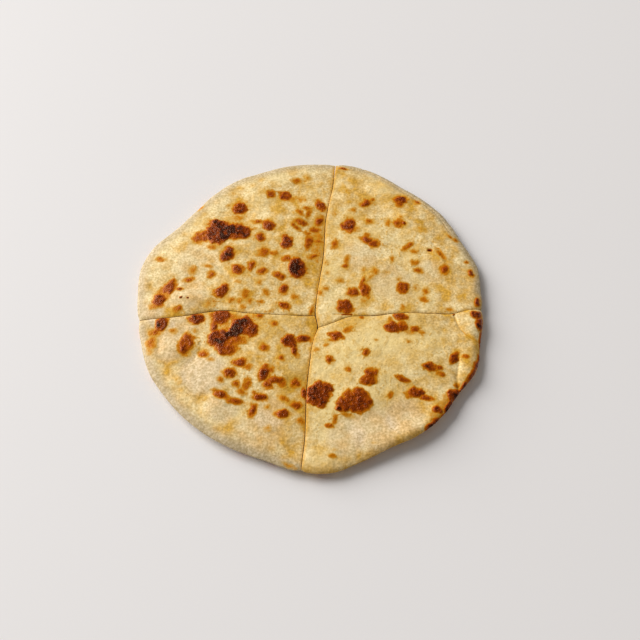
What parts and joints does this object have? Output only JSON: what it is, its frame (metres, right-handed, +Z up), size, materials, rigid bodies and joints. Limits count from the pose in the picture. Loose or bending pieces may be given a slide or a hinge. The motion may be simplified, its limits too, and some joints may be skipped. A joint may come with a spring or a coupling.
{
  "type": "naan bread cut in quarters",
  "caption": "Round, flat leavened bread with an uneven hand-shaped rim and low blisters, cut in quarters that lie together.",
  "frame": {"origin": "middle of the bread's length and width, at the level it rests on", "axes": "+Z up through the thickness, +Y to the back along the long cut, +X to the right"},
  "size_m": [0.181, 0.1882, 0.0091],
  "materials": {
    "crust": "baked flatbread crust, cream to golden, with dark brown scorched blisters and a slight oily sheen"
  },
  "bodies": {
    "root": {"quarter_back_left": "crust", "quarter_back_right": "crust", "quarter_front_left": "crust", "quarter_front_right": "crust"}
  },
  "joints": []
}
